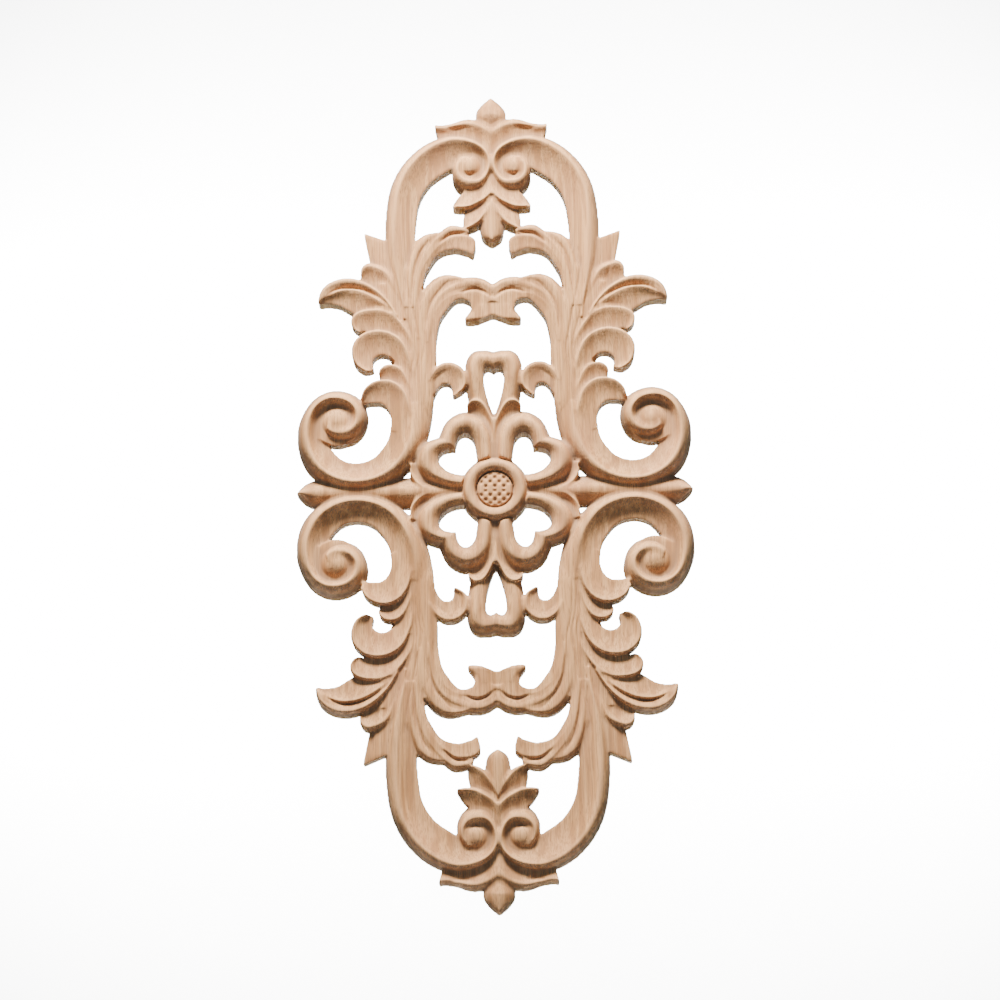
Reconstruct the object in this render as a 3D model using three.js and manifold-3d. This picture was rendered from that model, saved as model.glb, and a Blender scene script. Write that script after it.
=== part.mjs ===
// Carved wood onlay: a long openwork ornament of scrolls, acanthus leaves and a rosette, carved from one
// board and fixed flat on a door, a frame or a wall. Millimetres, +Z along the length, the carving faces -Y
// and the flat back lies in the plane Y = 0, with the origin behind the middle of the rosette.
import * as THREE from "three";
import { mergeVertices } from "three/addons/utils/BufferGeometryUtils.js";
import Module from "manifold-3d";

// Sizes that drive the whole onlay.
const LENGTH = 400; // tip to tip along Z
const WIDTH = 188.8; // across the four large volutes
const DEPTH = 13; // from the flat back to the top of the rosette's ring
const HUB_RADIUS = 14.7; // outer edge of the ring round the boss
const BOSS_RADIUS = 8.5; // the domed boss in the middle
const BOSS_DROP = 1; // how far the boss stands below the ring
const GROOVE_DROP = 3.4; // how far the groove round the boss lies below the ring
const HUB_FOOT = 1.6; // how far the low foot of the ring runs out
const GROUND = 5; // the lowest carved edge above the flat back

// How finely the curves are faceted.
const CHORD_ERROR = 0.9; // how far a facet may stand off the drawn curve
const HUB_SIDES = 24;
const EYE_SIDES = 12;
const SHORTEST = 0.03; // edges shorter than this are closed up where solids are joined

const BELOW = 2; // how far each solid runs past the back before it is cut flat

// The drawing below is one quarter of the ornament. It is drawn for this length, width and span of
// heights, and its lines and levels follow the sizes above.
const DRAWN = { length: 400, width: 188.8, ground: 5, depth: 13 };
const acrossOf = (x) => (x * WIDTH) / DRAWN.width;
const alongOf = (z) => (z * LENGTH) / DRAWN.length;
const levelOf = (h) => THREE.MathUtils.mapLinear(h, DRAWN.ground, DRAWN.depth, GROUND, DEPTH);

// Forms of a strip's cross section. Its surface rises from the edge to the crest and falls to the foot:
// as a quarter round, straight, or hollow, which is steep below the crest and flat towards the foot.
// The section gets points at these places: -1 is the edge, 0 the crest and 1 the foot.
const ROLL = { fall: (t) => Math.cos((Math.PI / 2) * t), places: [-1, -0.35, 0.35, 1] };
const ROUND = { fall: (t) => Math.cos((Math.PI / 2) * t), places: [-1, 0, 1] };
const HOLLOW = { fall: (t) => (1 - t) ** 2, places: [-1, 0, 0.35, 1] };
const SHARP = { fall: (t) => (1 - t) ** 2, places: [0, 0.35, 1] };
const FLAT = { fall: (t) => 1 - t, places: [0, 1] };

// Each strip of carving lies between two edge lines, its rim and its foot. A line is a row of knots
// [x, z, heading], the heading in degrees from +X towards +Z, and a knot of the rim faces the same knot of
// the foot. The crest lies at a share of the width. Heights are above the back: one number, or one a knot.
const strips = [];
function strip(name, rim, foot, edge, crest, at, low, form) {
  strips.push({ name, rim, foot, edge, crest, at, low, form });
}

// A leaf with two lobes side by side has a groove between them, at a share of its width.
function lobed(name, rim, foot, edge, crest, groove, depth, low) {
  const places = [0, groove * 0.4, groove, groove + 0.07, 1];
  strips.push({ name, rim, foot, shares: places, heights: [edge, crest, depth, crest, low] });
}

// Stem, large volutes and arch.
strip("stalk",
  [[30,40,95],[28.1,60,91],[29,73,80],[36,84,84],[37,98,86]],
  [[41,40,92],[41.4,60,90],[42.4,73,84],[45,86,76],[48,98,74]],
  8.6, 9.7, 0.45, 6.4, ROUND);
strip("scroll",
  [[29.4,44,-86],[33.6,24,-66],[45.3,7.5,-40],[66,0.1,0],
   [87,8.6,44],[94.4,28,90],[88.9,44,126],[76,50.9,180]],
  [[48.8,42,-90],[50.2,27,-75],[55.5,18.6,-48],[66,14.2,0],
   [76.2,18.6,52],[82,30,86],[81.5,38.6,125],[76.2,41.5,180]],
  [8,7,6,5.5,5.5,5.5,5.5,5.5], [10.5,11.2,12,12,12,12,12,12],
  [0.45,0.4,0.35,0.34,0.35,0.4,0.42,0.42], [8,7.8,7.6,7.6,7.4,7.2,7.2,7.2], HOLLOW);
strip("scroll_turn",
  [[76,50.9,180],[60.8,37.5,-90],[72,24.2,0],[80.6,28.8,60]],
  [[76.2,41.5,180],[69.6,36,-92],[75,29.6,-5],[80.6,32,60]],
  [5.5,5.5,5.5,6], [12,11.6,10.9,10.2], [0.42,0.45,0.6,0.75], [7.2,7.4,9.4,9.8], HOLLOW);
strip("arch",
  [[43.5,90,84],[50.6,116,80],[52,130,90],[51,146,97],[41.7,168.1,130],[18.5,180.5,180]],
  [[41,90,88],[39.3,116,98],[37.9,130,91],[36.8,142,97],[30.2,156.4,132],[17.5,165.6,140]],
  [8.5,8,7.5,7,7,7], [10,10.8,11.2,11.2,11.2,11.2],
  [0.48,0.38,0.34,0.32,0.26,0.2], [9,8,7.8,7.6,7.6,7.2], HOLLOW);
strip("arch_turn",
  [[18.5,180.5,180],[-1,166,-90],[9.6,150.1,0],[19.2,160,85]],
  [[17.5,165.6,140],[4.4,164,-90],[10.2,157.8,0],[16.4,163,88]],
  [7,6.5,6,6.5], [11.2,11,10.6,10.2], [0.2,0.35,0.5,0.6], [7.2,7.2,7.4,7.6], HOLLOW);

// Outer acanthus leaves, from the top down.
strip("leaf_a",
  [[45.5,100,76],[51,128.2,86]],
  [[55,100,68],[62.6,131.5,80]], 8.6, 8.6, 0.02, 7.4, FLAT);
strip("leaf_b",
  [[45,98,66],[58.5,114.7,18],[63.9,110,-92]],
  [[49.5,96,56],[60.5,107.6,25],[63.8,108.5,0]], 8.6, 9.6, 0.1, 7.2, SHARP);
strip("leaf_c_back",
  [[44,86,62],[57,103.2,38],[71,108.9,0],[84.5,94.6,-92]],
  [[45,83,60],[58,96.8,32],[70,100.6,0],[84.2,94.7,-36]],
  [8,7,6.5,8], 10.4, [0.4,0.35,0.33,0.4], 7.8, ROUND);
strip("leaf_c",
  [[44,82,62],[55,95.6,38],[72,101.4,-5],[84.3,95.2,-42]],
  [[47,80,55],[59,88,15],[76.5,94.3,10],[84.1,94.3,-8]], 9.6, 10.4, 0.06, [7,6.5,6.5,8.5], SHARP);
strip("leaf_d",
  [[38,68,90],[44,83.5,55],[57,91,0],[68.5,84.8,-88],[64.6,79.9,205]],
  [[42.5,66,88],[50,73,45],[57,78,5],[62,80.4,0],[64.4,79.9,-10]], 9.6, 10.2, 0.06, 6.2, SHARP);
strip("leaf_e",
  [[38.3,54,90],[42,71,68],[56,80.2,0],[68.1,69.5,-90],[60.6,59.9,182]],
  [[42.5,52,88],[46,62,62],[53.6,68.5,0],[58.5,64.5,-90],[57.8,61,-110]], 9.8, 10.6, 0.06, 6.8, SHARP);
strip("leaf_f",
  [[38.6,44,90],[41.5,56,70],[49.5,63,0],[55,58.5,-92]],
  [[42,42,88],[45,50,60],[50,54.5,10],[54.8,56.4,10]], 9, 9.8, 0.08, 6.4, SHARP);
strip("leaf_g",
  [[38.7,30,94],[40.5,44,78],[52.5,55.1,0],[64.2,46,-80]],
  [[48.9,30,90],[50,39.5,70],[56.5,44.4,0],[63,43.4,-12]], 10, 10.8, 0.06, 7.4, SHARP);

strip("leaf_ground",
  [[40,70,85],[42.6,86,74],[49,104,62]],
  [[50,74,60],[58,84,50],[66,98,60]], 6, 6, 0.5, 6, FLAT);

// Leaves that hook inwards from the stem.
strip("hook_back",
  [[42.5,94,92],[41.6,110,96],[38,124.2,115],[25.5,130.2,172]],
  [[38.5,94,94],[37,107,98],[32,120.5,118],[25.5,129,150]], 7.8, 9.8, 0.35, 8, ROUND);
lobed("hook",
  [[39.8,90,94],[37.8,108,100],[31.2,123.5,130],[19.3,133.7,180],[12,131.4,214],[8.2,124,-92]],
  [[35.4,90,90],[33.4,107,102],[29,115.7,128],[18.5,121.5,178],[13,120.3,192],[9.5,118.7,205]],
  7.8, 10.2, 0.4, 7.9, 8.6);
strip("curl_back",
  [[38.6,76,92],[36.8,92,100],[32.6,102,124],[22.5,108.3,178],[13.5,106.4,198]],
  [[32.4,76,92],[30.6,88,98],[27.6,95.5,115],[21,103,145],[13.5,105,170]], 7.8, 9.8, 0.4, 8, ROUND);
lobed("curl",
  [[34,72,91],[31.6,88,98],[28.4,96,115],[20,104.6,150],[8.8,106.9,182],[-0.5,102.2,228]],
  [[27.8,72,90],[26.4,83,102],[23.3,89.6,128],[16,96.1,180],[9.5,93.5,215],[-0.5,91,190]],
  8, 9.9, 0.5, 7.8, 8.8);
strip("curl_end",
  [[11.5,97.5,-115],[10.1,92,-88],[12.3,88.2,-60],[6.5,84.7,180]],
  [[-0.5,97,-90],[-0.5,92,-90],[-0.5,88.2,-88],[0.5,85.8,-30]], 8, 9.6, 0.3, 9, ROUND);
strip("small_leaf",
  [[31,56,112],[22,63.6,180],[12.6,55,-92],[19.2,47.5,-15]],
  [[29.6,44,92],[23.3,53.9,180],[19.9,51.2,-95],[19.7,48,-80]], 8.8, 9.8, 0.12, 7.8, SHARP);

// Rosette: the loop above it, the sepals behind it, and heart shaped petals.
strip("upper_loop",
  [[-0.4,68.4,40],[6.8,69.8,0],[13.5,60,-92],[4.4,29,-114],[2,22,-110]],
  [[-0.4,59.3,50],[2.8,61,-5],[5.1,55.3,-92],[-0.4,35.6,-112],[-0.4,30,-90]],
  [7,7,7,6,5], [11.2,11.2,11.2,8.6,6.5], 0.5, [7.4,7.4,7.4,6.6,5], ROLL);
strip("sepal_long",
  [[-0.4,22,90],[-0.4,30,84],[2.1,38.4,68],[8.7,45.0,0],[12.8,41,-85]],
  [[3,20,90],[3,26,75],[4,31,66],[10,37.6,45],[12.3,39.5,40]], 10, 10.8, 0.1, 8, SHARP);
strip("sepal_cross",
  [[22,-0.4,0],[33.5,1.6,22],[39.8,13.5,92]],
  [[22,4,10],[31,7,35],[36,14,90]], 8.8, 9.4, 0.1, 7, SHARP);
strip("petal_a",
  [[-0.4,14,90],[0.2,26,82],[13.4,39.1,0],[26.4,27,-62]],
  [[8.2,14,100],[8.8,21,86],[14.3,28.2,0],[18.8,21,-84]], 6.5, 12, 0.5, 6.8, ROLL);
strip("petal_b",
  [[25.5,26.8,-10],[35.6,23,-44],[38.6,14.6,-92],[29,3.2,205],[12,-0.4,182]],
  [[18.8,20.6,8],[25,19.4,-30],[27,15.8,-90],[22,8.8,208],[12.5,7,182]], 6.5, 12, 0.5, 6.8, ROLL);

// Palm leaves at the ends and the bar across the middle.
strip("crown_tip",
  [[0.2,184,50],[7.3,190.6,92],[0.2,200,140]],
  [[-0.4,184,90],[-0.4,191,90],[-0.4,200,90]], 7.6, 10.8, 0.97, 10.8, ROUND);
strip("crown_side",
  [[-0.4,185.4,30],[10.5,189,4],[27.6,186.3,4]],
  [[-0.4,166,60],[11,177.6,16],[26,179.4,-6]], 7.6, 9.8, 0.25, 6, HOLLOW);
strip("tassel_a",
  [[-0.4,150.4,-60],[6,144.6,-30],[18.7,142.7,5]],
  [[-0.4,161,-70],[14,151,-40],[18.9,143.8,-60]], 9.6, 10.6, 0.1, 8, SHARP);
strip("tassel_b",
  [[-0.4,146.5,-68],[3.4,138.2,-56],[12.8,131.2,-10]],
  [[-0.4,152,-68],[12.6,141.6,-70],[13.7,133.2,-94]], 9.8, 10.8, 0.1, 8.2, SHARP);
strip("tassel_c",
  [[0.2,147.5,-58],[5.7,134,-90],[5,129,-104],[0.2,124.4,-155]],
  [[-0.4,147.5,-90],[-0.4,135,-90],[-0.4,130,-90],[-0.4,124.4,-90]], 8.2, 11, 0.97, 11, ROUND);
strip("bar",
  [[10,5,0],[42,7.2,0],[80,7.2,-2],[88,5.8,-20],[94.4,0.2,-55]],
  [[10,-0.4,0],[42,-0.4,0],[80,-0.4,0],[88,-0.4,0],[94.4,-0.4,0]], 5, 9.4, 0.97, 9.4, ROUND);

// The eye in each volute: a low dome on a round floor, at x and z.
const eyes = [
  { x: 75.4, z: 34.6, dome: 7.2, top: 11.1, floor: 7.2, radius: 8.4 },
  { x: 10.8, z: 164.6, dome: 6.2, top: 9.2, floor: 7.2, radius: 7.4 },
];

const radians = THREE.MathUtils.degToRad;
const lerp = THREE.MathUtils.lerp;

// The signed angle from one knot's heading to the next, within half a turn.
function turnBetween(a, b) {
  return radians(THREE.MathUtils.euclideanModulo(b[2] - a[2] + 180, 360) - 180);
}

// The curve between two knots, with handles as long as those of the arc that turns as far.
function curveBetween(a, b) {
  const start = new THREE.Vector2(a[0], a[1]);
  const end = new THREE.Vector2(b[0], b[1]);
  const handle = start.distanceTo(end) / (3 * Math.cos(turnBetween(a, b) / 4) ** 2);
  const ahead = new THREE.Vector2(Math.cos(radians(a[2])), Math.sin(radians(a[2])));
  const arriving = new THREE.Vector2(Math.cos(radians(b[2])), Math.sin(radians(b[2])));
  return new THREE.CubicBezierCurve(
    start,
    start.clone().addScaledVector(ahead, handle),
    end.clone().addScaledVector(arriving, -handle),
    end,
  );
}

// How many facets keep within CHORD_ERROR of the curve between two knots.
function facetsFor(a, b) {
  const length = curveBetween(a, b).getLength();
  return Math.ceil(Math.sqrt((Math.abs(turnBetween(a, b)) * length) / (8 * CHORD_ERROR)));
}

// A value that is one number, or one for each knot, at a share t of the way to the next knot.
function valueAt(value, knot, t) {
  return Array.isArray(value) ? lerp(value[knot], value[knot + 1], t) : value;
}

// The cross section of a strip at one place: the shares of the width and the heights there.
function sectionAt(shape, knot, t) {
  if (shape.shares) return shape.shares.map((share, i) => [share, shape.heights[i]]);
  const { edge, crest, at, low } = Object.fromEntries(
    ["edge", "crest", "at", "low"].map((key) => [key, valueAt(shape[key], knot, t)]),
  );
  return shape.form.places.map((place, i) => {
    if (place < 0) return [at * (1 + place), edge + (crest - edge) * Math.sin((Math.PI / 2) * (1 + place))];
    const share = i === 0 ? 0 : at + (1 - at) * place;
    return [share, low + (crest - low) * shape.form.fall(place)];
  });
}

// Points of one strip: rows along it, and in each row the points across it.
function gridOf(shape) {
  const rows = [];
  for (let knot = 0; knot + 1 < shape.rim.length; knot += 1) {
    const ends = [shape.rim, shape.foot].map((line) => [line[knot], line[knot + 1]]);
    const [outer, inner] = ends.map(([a, b]) => curveBetween(a, b));
    const facets = Math.max(1, ...ends.map(([a, b]) => facetsFor(a, b)));
    for (let i = knot === 0 ? 0 : 1; i <= facets; i += 1) {
      const p = outer.getPoint(i / facets);
      const q = inner.getPoint(i / facets);
      const section = sectionAt(shape, knot, i / facets);
      rows.push(section.map(([share, height]) => {
        const { x, y } = p.clone().lerp(q, share);
        return [acrossOf(x), -levelOf(height), alongOf(y)];
      }));
    }
  }
  return rows;
}

// A closed solid from a grid of points on its top down to a level behind the back plane.
function solidUnder(rows) {
  const across = rows[0].length;
  const top = rows.flat();
  const bottom = top.map(([x, , z]) => [x, BELOW, z]);
  const faces = [];
  const quad = (a, b, c, d) => faces.push(a, b, c, a, c, d);
  for (let i = 0; i + 1 < rows.length; i += 1) {
    for (let j = 0; j + 1 < across; j += 1) {
      const a = i * across + j;
      quad(a, a + across, a + across + 1, a + 1);
      quad(top.length + a + 1, top.length + a + across + 1, top.length + a + across, top.length + a);
    }
  }
  const last = rows.length - 1;
  const border = [
    ...rows.map((row, i) => i * across),
    ...rows[0].slice(1).map((point, j) => last * across + j + 1),
    ...rows.slice(1).map((row, i) => (last - i) * across - 1),
    ...rows[0].slice(2).map((point, j) => across - 2 - j),
  ];
  border.forEach((a, n) => {
    const b = border[(n + 1) % border.length];
    quad(b, a, top.length + a, top.length + b);
  });
  const geometry = new THREE.BufferGeometry();
  geometry.setAttribute("position", new THREE.Float32BufferAttribute([...top, ...bottom].flat(), 3));
  geometry.setIndex(faces);
  return geometry;
}

// A round solid on an upright axis; the outline is [radius, height] from the middle out.
function turned(outline, x, z, segments) {
  const radius = outline.at(-1)[0];
  const line = [...outline.map(([r, h]) => [r, -h]), [radius, BELOW], [0, BELOW]];
  return new THREE.LatheGeometry(
    line.map(([r, y]) => new THREE.Vector2(r, y)),
    segments,
  ).translate(x, 0, z);
}

function eyeSolid({ x, z, dome, top, floor, radius }) {
  const bulge = [0, 0.6].map((q) => [q * dome, floor + (top - floor) * (1 - q * q)]);
  const outline = [...bulge, [dome, floor], [radius, floor]].map(([r, h]) => [r, levelOf(h)]);
  return turned(outline, acrossOf(x), alongOf(z), EYE_SIDES);
}

// The middle of the rosette: a domed boss, a groove and a rounded ring on a low round foot.
function hubSolid() {
  const boss = [0, 0.6, 1].map((q) => [q * BOSS_RADIUS, DEPTH - BOSS_DROP * (1 + q * q)]);
  const groove = [lerp(BOSS_RADIUS, HUB_RADIUS, 0.06), DEPTH - GROOVE_DROP];
  const ring = [[0.2, 0.8], [0.57, 0], [0.88, 1.4], [1, 4]].map(([q, drop]) => [
    lerp(BOSS_RADIUS, HUB_RADIUS, q),
    DEPTH - drop,
  ]);
  const foot = [HUB_RADIUS + HUB_FOOT, levelOf(7.2)];
  return turned([...boss, groove, ...ring, foot], 0, 0, HUB_SIDES);
}

// A geometry as a solid that can be joined and cut, turned the right way out where a mirror has flipped it.
const wasm = await Module();
wasm.setup();
const { Manifold, Mesh } = wasm;
function solid(geometry) {
  const bare = new THREE.BufferGeometry();
  bare.setAttribute("position", geometry.getAttribute("position"));
  bare.setIndex(geometry.getIndex());
  const { attributes, index } = mergeVertices(bare, 1e-4);
  const triVerts = Uint32Array.from(index.array);
  const vertProperties = attributes.position.array;
  const make = () => new Manifold(new Mesh({ numProp: 3, vertProperties, triVerts, tolerance: SHORTEST }));
  const made = make();
  if (made.volume() > 0) return made;
  for (let i = 0; i < triVerts.length; i += 3) {
    [triVerts[i + 1], triVerts[i + 2]] = [triVerts[i + 2], triVerts[i + 1]];
  }
  return make();
}

// A joined solid back as a geometry.
function geometryOf(made) {
  const { numVert, numProp, vertProperties, triVerts } = made.getMesh();
  const corners = new Float32Array(numVert * 3);
  for (let i = 0; i < numVert; i += 1) {
    corners.set(vertProperties.subarray(i * numProp, i * numProp + 3), i * 3);
  }
  const geometry = new THREE.BufferGeometry();
  geometry.setAttribute("position", new THREE.BufferAttribute(corners, 3));
  geometry.setIndex(new THREE.BufferAttribute(triVerts, 1));
  return geometry;
}

// One quarter, cut clean on both mirror planes.
const FAR = 500;
const beyond = (x, y, z) => solid(new THREE.BoxGeometry(FAR, FAR, FAR).translate(x, y, z));
const carving = [...strips.map((shape) => solidUnder(gridOf(shape))), ...eyes.map(eyeSolid)];
const quarter = Manifold.difference([
  Manifold.union(carving.map(solid)),
  beyond(-FAR / 2, 0, 0),
  beyond(0, 0, -FAR / 2),
]);

// Four mirrored quarters and the hub, cut flat on the back plane.
const quarterGeometry = geometryOf(quarter);
const signs = [[1, 1], [-1, 1], [1, -1], [-1, -1]];
const quarters = signs.map(([sx, sz]) => solid(quarterGeometry.clone().scale(sx, 1, sz)));
const cut = Manifold.difference([
  Manifold.union([...quarters, solid(hubSolid())]),
  beyond(0, FAR / 2, 0),
]);
const [carved] = cut.decompose().sort((a, b) => b.volume() - a.volume());

const geometry = geometryOf(carved);
geometry.computeVertexNormals();

const wood = new THREE.MeshStandardMaterial({ color: 0xc19f83, roughness: 0.75, metalness: 0 });
const onlay = new THREE.Mesh(geometry, wood);
onlay.name = "carved_onlay";

const part = new THREE.Group();
part.add(onlay);
export default part;
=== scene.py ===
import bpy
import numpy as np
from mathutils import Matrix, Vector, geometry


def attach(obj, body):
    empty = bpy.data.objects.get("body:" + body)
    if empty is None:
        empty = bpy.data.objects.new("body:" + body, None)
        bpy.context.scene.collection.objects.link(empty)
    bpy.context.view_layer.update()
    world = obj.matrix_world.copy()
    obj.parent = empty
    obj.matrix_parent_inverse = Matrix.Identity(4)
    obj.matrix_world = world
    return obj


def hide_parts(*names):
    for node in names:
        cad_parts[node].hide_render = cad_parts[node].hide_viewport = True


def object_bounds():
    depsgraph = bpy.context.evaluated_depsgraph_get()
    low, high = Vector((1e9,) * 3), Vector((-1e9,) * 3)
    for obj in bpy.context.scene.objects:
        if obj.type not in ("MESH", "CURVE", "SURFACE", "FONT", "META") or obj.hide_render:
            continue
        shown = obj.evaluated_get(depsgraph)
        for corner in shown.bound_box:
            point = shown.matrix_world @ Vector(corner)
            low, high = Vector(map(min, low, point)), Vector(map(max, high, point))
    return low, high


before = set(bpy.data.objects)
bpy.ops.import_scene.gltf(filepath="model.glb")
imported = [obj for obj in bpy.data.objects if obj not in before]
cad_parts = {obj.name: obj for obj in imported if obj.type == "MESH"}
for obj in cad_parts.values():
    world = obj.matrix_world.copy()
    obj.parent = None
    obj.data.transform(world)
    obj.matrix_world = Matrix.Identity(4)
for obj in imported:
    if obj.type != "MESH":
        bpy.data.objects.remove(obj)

# %% [markdown]
# # A carved wood onlay
# The real piece is an ornament carved in low relief from one board of pale hardwood and fixed flat
# on a door or a frame. It has scrolls, acanthus leaves and a rosette, with the wood sawn away between
# them. The solid model has its outline and main forms. This lesson carves the same board again with
# every lobe, groove and softened edge, and gives it the colour and grain of bare wood.

cad_box = [list(corner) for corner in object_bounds()]
MM = 0.001
print("solid, lowest and highest corner in mm:", np.round(np.array(cad_box) / MM, 1).tolist())

# %% [markdown]
# ## The drawing
# A carver draws one quarter and turns the pattern over for the other three. Each strip of carving
# lies between two lines, a rim and a foot. A line is a row of knots (x, z, heading) in millimetres
# and degrees, and a knot of the rim faces the same knot of the foot. Across the strip the wood rises
# from the edge to the crest and falls to the foot: as a quarter round, straight, or hollow. Lines
# with headings were chosen over single points because a few of them hold a long clean curve.

# %% Strips of carving
# The form is the power of the fall, and 0 stands for a quarter round.
ROUND = 0
STRAIGHT = 1
HOLLOW = 2
strips = {}


def strip(name, rim, foot, edge, crest, at, low, form):
    """Keeps one strip: heights above the back at the edge, the crest and the foot, the crest's share
    of the width, and the form of the fall. A height is one number, or one for each knot."""
    strips[name] = dict(rim=rim, foot=foot, edge=edge, crest=crest, at=at, low=low, form=form)


strip(
    "stalk",
    rim=[
        (33.4, 24, 112), (29.4, 44, 94), (28.1, 60, 91), (27.9, 74, 88), (33.5, 96, 75), (37, 110, 80),
        (38.1, 130, 90),
    ],
    foot=[
        (45, 24, 104), (40, 44, 92), (38.5, 60, 90), (40, 75, 80), (45, 96, 74), (48, 112, 80),
        (51, 130, 90),
    ],
    edge=[6, 8.4, 8.6, 8.6, 8.6, 8.4, 5], crest=[7.4, 9.8, 9.8, 9.7, 9.6, 9.2, 5.6], at=0.45,
    low=[6, 9, 9, 9, 9, 8.4, 5], form=ROUND,
)
strip(
    "scroll",
    rim=[
        (28.4, 60, -90), (29.4, 44, -86), (33.6, 24, -66), (45.3, 7.5, -40), (66, 0.2, 0),
        (87, 8.6, 44), (94.4, 28, 90), (88.9, 44, 126), (76, 50.9, 180),
    ],
    foot=[
        (42, 60, -90), (48.8, 42, -84), (50.2, 27, -75), (55.5, 18.6, -48), (66, 14.2, 0),
        (76.2, 18.6, 52), (82, 30, 86), (81.5, 38.6, 125), (76.2, 41.5, 180),
    ],
    edge=[5, 7.6, 7, 6, 5.5, 5.5, 5.5, 5.5, 5.5], crest=[6, 9.8, 11.2, 12, 12, 12, 12, 12, 12],
    at=[0.45, 0.43, 0.4, 0.35, 0.34, 0.35, 0.4, 0.46, 0.55],
    low=[5, 8.2, 8, 7.8, 7.6, 7.4, 7.2, 7.4, 7.8], form=HOLLOW,
)
strip(
    "scroll_turn",
    rim=[(76, 50.9, 180), (60.8, 37.5, -90), (72, 24.2, 0), (80.6, 28.8, 60)],
    foot=[(76.2, 41.5, 180), (69.6, 36, -92), (75, 32.6, -5), (79, 34, 60)],
    edge=[5.5, 5.5, 5.5, 6], crest=[12, 11.8, 11.3, 11], at=[0.55, 0.55, 0.6, 0.6],
    low=[7.8, 8.8, 10.9, 10.9], form=HOLLOW,
)
strip(
    "arch",
    rim=[
        (43.5, 86, 84), (46.5, 100, 74), (50.6, 116, 80), (52, 130, 90), (51, 146, 97),
        (41.7, 168.1, 130), (18.5, 180.5, 180),
    ],
    foot=[
        (42, 86, 88), (41.8, 100, 92), (39.3, 116, 98), (37.9, 130, 91), (36.8, 142, 97),
        (30.2, 156.4, 132), (17.5, 165.6, 140),
    ],
    edge=[8.6, 8.4, 8, 7.5, 7, 7, 7], crest=[9.8, 10.2, 10.8, 11.2, 11.2, 11.2, 11.2],
    at=[0.5, 0.45, 0.38, 0.34, 0.32, 0.26, 0.2], low=[9.2, 8.8, 8, 7.8, 7.6, 7.6, 7.2], form=HOLLOW,
)
strip(
    "arch_turn",
    rim=[(18.5, 180.5, 180), (-0.6, 166, -90), (9.6, 150.1, 0), (19.2, 160, 85), (15.5, 169.5, 140)],
    foot=[(17.5, 165.6, 140), (4.4, 164, -90), (10.2, 158.6, 0), (15.4, 163, 88), (11.5, 168.2, 160)],
    edge=[7, 6.5, 6, 6.5, 7.6], crest=[11.2, 11, 10.8, 10.4, 9.4], at=[0.2, 0.35, 0.72, 0.7, 0.6],
    low=[7.6, 8, 8.8, 9.6, 9], form=HOLLOW,
)
strip(
    "leaf_ground",
    rim=[(39, 44, 92), (38.5, 64, 88), (42, 84, 72), (50, 104, 68)],
    foot=[(44, 46, 86), (48, 62, 70), (56, 80, 60), (62, 104, 60)],
    edge=8.8, crest=8.8, at=0.25, low=6, form=STRAIGHT,
)
strip(
    "leaf_a",
    rim=[(47.5, 104, 78), (50, 118, 84), (51, 125.6, 88)],
    foot=[(54, 104, 68), (59.7, 116.5, 80), (62.4, 130.4, 80)],
    edge=8.6, crest=8.6, at=0.02, low=7.2, form=STRAIGHT,
)
strip(
    "leaf_b",
    rim=[(45.5, 97, 66), (50, 109, 62), (58.5, 114.4, 18), (62.6, 113.4, -45), (63.9, 109.6, -92)],
    foot=[(49.5, 96, 56), (55, 101, 45), (60.5, 103.6, 20), (62.4, 103.8, 10), (63.8, 103.8, 0)],
    edge=[8.6, 8.6, 8.6, 8.4, 8.2], crest=[8.8, 9.6, 9.9, 9.8, 9.4], at=0.16,
    low=[8.6, 7.6, 7.4, 7.4, 7.4], form=HOLLOW,
)
strip(
    "leaf_c_back",
    rim=[(46, 88, 62), (57, 102.2, 38), (71, 107.6, 0), (84.3, 98, -82), (84.5, 94.6, -95)],
    foot=[(47.5, 87, 60), (57.5, 98, 32), (69.5, 101.8, 0), (82.5, 97, -35), (84.2, 94.7, -50)],
    edge=[8, 7, 6.5, 7, 8], crest=10.4, at=[0.4, 0.35, 0.33, 0.35, 0.4], low=7.8, form=ROUND,
)
strip(
    "leaf_c",
    rim=[(46, 85.5, 60), (55, 95.6, 38), (63, 100.2, 20), (72, 101.4, -5), (84.3, 95.2, -42)],
    foot=[(49, 83.5, 55), (59, 88, 15), (68.3, 90.1, 32), (76.5, 94.3, 10), (84.1, 94.3, -8)],
    edge=[8.4, 9.6, 9.6, 9.6, 9.6], crest=[8.5, 10.4, 10.4, 10.4, 10.4], at=0.06,
    low=[7.6, 7.8, 7.8, 7.8, 8.6], form=HOLLOW,
)
strip(
    "leaf_d",
    rim=[(38, 68, 90), (44, 83.5, 55), (57, 91, 0), (68.5, 84.8, -88), (64.6, 79.9, 205)],
    foot=[(41.5, 66, 88), (47, 76.5, 45), (56, 80, 5), (62, 80.4, 0), (64.4, 79.9, -10)],
    edge=[8.6, 9.6, 9.6, 9.6, 9.6], crest=[8.9, 10.2, 10.2, 10.2, 10.2], at=0.06,
    low=[8.6, 8.1, 8, 8, 8], form=HOLLOW,
)
strip(
    "leaf_e",
    rim=[(38.3, 54, 90), (42, 71, 68), (56, 80.2, 0), (68.1, 69.5, -90), (60.6, 59.9, 182)],
    foot=[(42.5, 52, 88), (46, 62, 62), (53.6, 68.5, 0), (58.5, 64.5, -90), (57.8, 61, -110)],
    edge=[8.6, 9.8, 9.8, 9.8, 9.8], crest=[8.9, 10.6, 10.6, 10.6, 10.6], at=0.06,
    low=[8.6, 8.2, 8.1, 8.1, 8.1], form=HOLLOW,
)
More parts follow.
